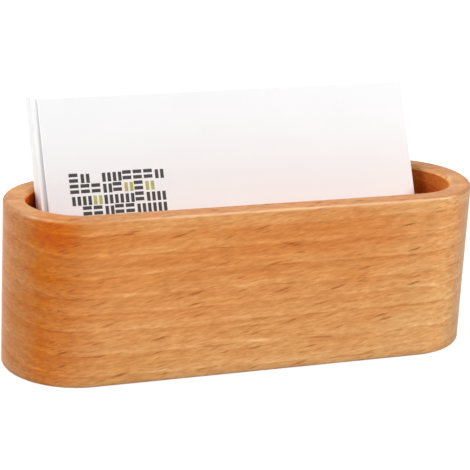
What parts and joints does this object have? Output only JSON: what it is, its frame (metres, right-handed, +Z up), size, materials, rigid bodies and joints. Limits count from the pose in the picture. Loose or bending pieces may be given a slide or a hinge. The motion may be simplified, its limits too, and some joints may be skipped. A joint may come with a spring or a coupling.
{
  "type": "business card holder",
  "caption": "Round-ended hardwood desk stand with a routed pocket that holds a leaning row of business cards, each of which lifts out.",
  "frame": {"origin": "middle of the wooden body's flat underside", "axes": "+X along the body, to the right seen from the front, +Y to the back, +Z up"},
  "size_m": [0.111, 0.0364, 0.0576],
  "materials": {
    "beech": "satin lacquer",
    "card_stock": "smooth, uncoated"
  },
  "bodies": {
    "holder": {"wood_body": "beech"},
    "front_card": {"front_card": "card_stock"},
    "card_02": {"card_02": "card_stock"},
    "card_03": {"card_03": "card_stock"},
    "card_04": {"card_04": "card_stock"},
    "card_05": {"card_05": "card_stock"},
    "card_06": {"card_06": "card_stock"},
    "card_07": {"card_07": "card_stock"},
    "card_08": {"card_08": "card_stock"}
  },
  "joints": [
    {"name": "front_card_lift", "type": "slide", "parent": "holder", "child": "front_card", "axis": [-0.0096, 0.4201, 0.9074], "range_m": [0, 0.06]},
    {"name": "card_02_lift", "type": "slide", "parent": "holder", "child": "card_02", "axis": [-0.0096, 0.4201, 0.9074], "range_m": [0, 0.06]},
    {"name": "card_03_lift", "type": "slide", "parent": "holder", "child": "card_03", "axis": [-0.0096, 0.4217, 0.9067], "range_m": [0, 0.06]},
    {"name": "card_04_lift", "type": "slide", "parent": "holder", "child": "card_04", "axis": [-0.0097, 0.4233, 0.906], "range_m": [0, 0.06]},
    {"name": "card_05_lift", "type": "slide", "parent": "holder", "child": "card_05", "axis": [-0.0097, 0.4248, 0.9052], "range_m": [0, 0.06]},
    {"name": "card_06_lift", "type": "slide", "parent": "holder", "child": "card_06", "axis": [-0.0097, 0.4264, 0.9045], "range_m": [0, 0.06]},
    {"name": "card_07_lift", "type": "slide", "parent": "holder", "child": "card_07", "axis": [-0.0098, 0.428, 0.9037], "range_m": [0, 0.06]},
    {"name": "card_08_lift", "type": "slide", "parent": "holder", "child": "card_08", "axis": [-0.0098, 0.4296, 0.903], "range_m": [0, 0.06]}
  ]
}
